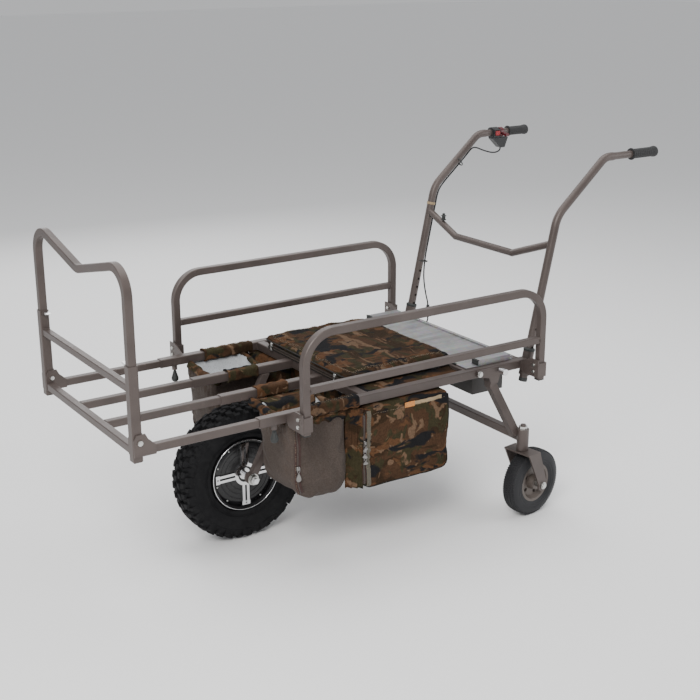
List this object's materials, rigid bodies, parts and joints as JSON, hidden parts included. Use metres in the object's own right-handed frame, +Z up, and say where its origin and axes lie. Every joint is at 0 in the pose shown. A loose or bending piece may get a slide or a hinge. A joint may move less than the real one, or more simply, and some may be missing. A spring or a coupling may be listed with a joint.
{
  "type": "powered game cart",
  "caption": "Powered field barrow with a driven front wheel, swivel casters, pull-out bed, folding gate, side guards and bags.",
  "frame": {"origin": "on the ground under the middle of the cart's bounding box", "axes": "+X towards the handles, +Y to the pusher's right seen from behind facing the gate, +Z up"},
  "size_m": [1.778, 0.846, 1.074],
  "materials": {
    "frame_paint": "satin taupe powder coat",
    "plate_steel": "satin",
    "bright_steel": "polished",
    "black_plastic": "matte",
    "cast_aluminium": "satin",
    "motor_steel": "satin",
    "black_metal": "satin",
    "grip_rubber": "matte",
    "red_plastic": "gloss",
    "dark_red_plastic": "gloss",
    "tyre_rubber": "matte",
    "camo_fabric": "woven camouflage",
    "bag_fabric": "woven"
  },
  "bodies": {
    "frame": {"main_rails": "frame_paint", "inner_sleeves": "frame_paint", "cross_tubes": "frame_paint", "fork_legs": "frame_paint", "front_axle": "bright_steel", "motor_stator": "motor_steel", "axle_nuts": "bright_steel", "guard_sockets": "frame_paint", "frame_bolts": "bright_steel", "handle_clamps": "frame_paint", "battery_tray": "frame_paint", "battery_pack": "black_plastic", "motor_controller": "cast_aluminium", "controller_lead": "grip_rubber", "deck_cover": "camo_fabric", "left_pockets": "bag_fabric", "right_pockets": "bag_fabric", "rail_wraps": "camo_fabric", "deck_hinge_pin": "bright_steel"},
    "front_wheel": {"front_tyre": "tyre_rubber", "front_rim": "black_metal", "motor_hub": "black_metal", "wheel_spokes": "bright_steel", "wheel_bearings": "bright_steel"},
    "bed_extension": {"slide_bars": "frame_paint", "front_cross_bar": "frame_paint", "gate_hinge_plates": "frame_paint", "gate_hinge_bolts": "bright_steel"},
    "gate": {"gate_posts": "frame_paint", "gate_mid_bar": "frame_paint"},
    "hoop": {"gate_hoop": "frame_paint"},
    "left_clip": {"left_gate_clip": "bright_steel"},
    "right_clip": {"right_gate_clip": "bright_steel"},
    "left_side_guard": {"left_guard": "frame_paint"},
    "right_side_guard": {"right_guard": "frame_paint"},
    "deck_lid": {"deck_plate": "plate_steel"},
    "handles": {"handle_tubes": "frame_paint", "handle_crossbar": "frame_paint", "handle_grips": "grip_rubber", "throttle_housing": "black_plastic", "throttle_cable": "grip_rubber", "throttle_plug": "black_plastic"},
    "thumb_lever": {"throttle_lever": "dark_red_plastic"},
    "rocker": {"direction_switch": "red_plastic"},
    "leg_frame": {"leg_struts": "frame_paint", "leg_cross_tube": "frame_paint"},
    "left_caster": {"left_caster_fork": "frame_paint", "left_caster_bolts": "bright_steel"},
    "right_caster": {"right_caster_fork": "frame_paint", "right_caster_bolts": "bright_steel"},
    "left_caster_wheel": {"left_caster_tyre": "tyre_rubber", "left_caster_hub": "frame_paint"},
    "right_caster_wheel": {"right_caster_tyre": "tyre_rubber", "right_caster_hub": "frame_paint"},
    "left_plunger": {"left_slide_plunger": "black_plastic"},
    "right_plunger": {"right_slide_plunger": "black_plastic"},
    "left_leg_lock": {"left_leg_pin": "bright_steel"},
    "right_leg_lock": {"right_leg_pin": "bright_steel"},
    "left_handle_lock": {"left_handle_pin": "bright_steel"},
    "right_handle_lock": {"right_handle_pin": "bright_steel"}
  },
  "joints": [
    {"name": "front_wheel_spin", "type": "hinge", "parent": "frame", "child": "front_wheel", "pos_m": [-0.43, 0, 0.203], "axis": [0, 1, 0], "continuous": true},
    {"name": "bed_slide", "type": "slide", "parent": "frame", "child": "bed_extension", "axis": [-1, 0, 0], "range_m": [-0.29, 0]},
    {"name": "gate_fold", "type": "hinge", "parent": "bed_extension", "child": "gate", "pos_m": [-0.871, 0, 0.491], "axis": [0, 1, 0], "range_deg": [0, 90]},
    {"name": "hoop_slide", "type": "slide", "parent": "gate", "child": "hoop", "axis": [0, 0, 1], "range_m": [-0.14, 0]},
    {"name": "left_clip_turn", "type": "hinge", "parent": "gate", "child": "left_clip", "pos_m": [-0.876, -0.2815, 0.684], "axis": [-1, 0, 0], "range_deg": [0, 80]},
    {"name": "right_clip_turn", "type": "hinge", "parent": "gate", "child": "right_clip", "pos_m": [-0.876, 0.2815, 0.684], "axis": [1, 0, 0], "range_deg": [0, 80]},
    {"name": "left_guard_lift", "type": "slide", "parent": "frame", "child": "left_side_guard", "axis": [0, 0, 1], "range_m": [0, 0.045]},
    {"name": "right_guard_lift", "type": "slide", "parent": "frame", "child": "right_side_guard", "axis": [0, 0, 1], "range_m": [0, 0.045]},
    {"name": "deck_plate_lift", "type": "hinge", "parent": "frame", "child": "deck_lid", "pos_m": [0.353, 0, 0.4845], "axis": [0, 1, 0], "range_deg": [0, 80]},
    {"name": "handle_slide", "type": "slide", "parent": "frame", "child": "handles", "axis": [0.2171, 0, 0.9761], "range_m": [-0.112, 0], "deforming": ["controller_lead"]},
    {"name": "throttle_press", "type": "hinge", "parent": "handles", "child": "thumb_lever", "pos_m": [0.773, 0.3, 1.056], "axis": [1, 0, 0], "range_deg": [0, 32], "stiffness_Nm_per_rad": 0.2, "springref_deg": -11.46},
    {"name": "direction_rock", "type": "hinge", "parent": "handles", "child": "rocker", "pos_m": [0.746, 0.283, 1.056], "axis": [1, 0, 0], "range_deg": [-10, 10]},
    {"name": "leg_fold", "type": "hinge", "parent": "frame", "child": "leg_frame", "pos_m": [0.204, 0, 0.466], "axis": [0, 1, 0], "range_deg": [0, 20]},
    {"name": "left_caster_swivel", "type": "hinge", "parent": "leg_frame", "child": "left_caster", "pos_m": [0.335, -0.37, 0.25], "axis": [0, 0, 1], "continuous": true},
    {"name": "right_caster_swivel", "type": "hinge", "parent": "leg_frame", "child": "right_caster", "pos_m": [0.335, 0.37, 0.25], "axis": [0, 0, 1], "continuous": true},
    {"name": "left_caster_spin", "type": "hinge", "parent": "left_caster", "child": "left_caster_wheel", "pos_m": [0.37659, -0.36416, 0.104], "axis": [-0.1392, 0.9903, 0], "continuous": true},
    {"name": "right_caster_spin", "type": "hinge", "parent": "right_caster", "child": "right_caster_wheel", "pos_m": [0.37659, 0.36416, 0.104], "axis": [0.1392, 0.9903, 0], "continuous": true},
    {"name": "left_plunger_push", "type": "slide", "parent": "frame", "child": "left_plunger", "axis": [0, 0, 1], "range_m": [0, 0.005]},
    {"name": "right_plunger_push", "type": "slide", "parent": "frame", "child": "right_plunger", "axis": [0, 0, 1], "range_m": [0, 0.005]},
    {"name": "left_leg_pin_push", "type": "slide", "parent": "leg_frame", "child": "left_leg_lock", "axis": [0, -1, 0], "range_m": [-0.005, 0]},
    {"name": "right_leg_pin_push", "type": "slide", "parent": "leg_frame", "child": "right_leg_lock", "axis": [0, 1, 0], "range_m": [-0.005, 0]},
    {"name": "left_handle_pin_push", "type": "slide", "parent": "frame", "child": "left_handle_lock", "axis": [0, -1, 0], "range_m": [-0.006, 0]},
    {"name": "right_handle_pin_push", "type": "slide", "parent": "frame", "child": "right_handle_lock", "axis": [0, 1, 0], "range_m": [-0.006, 0]}
  ]
}
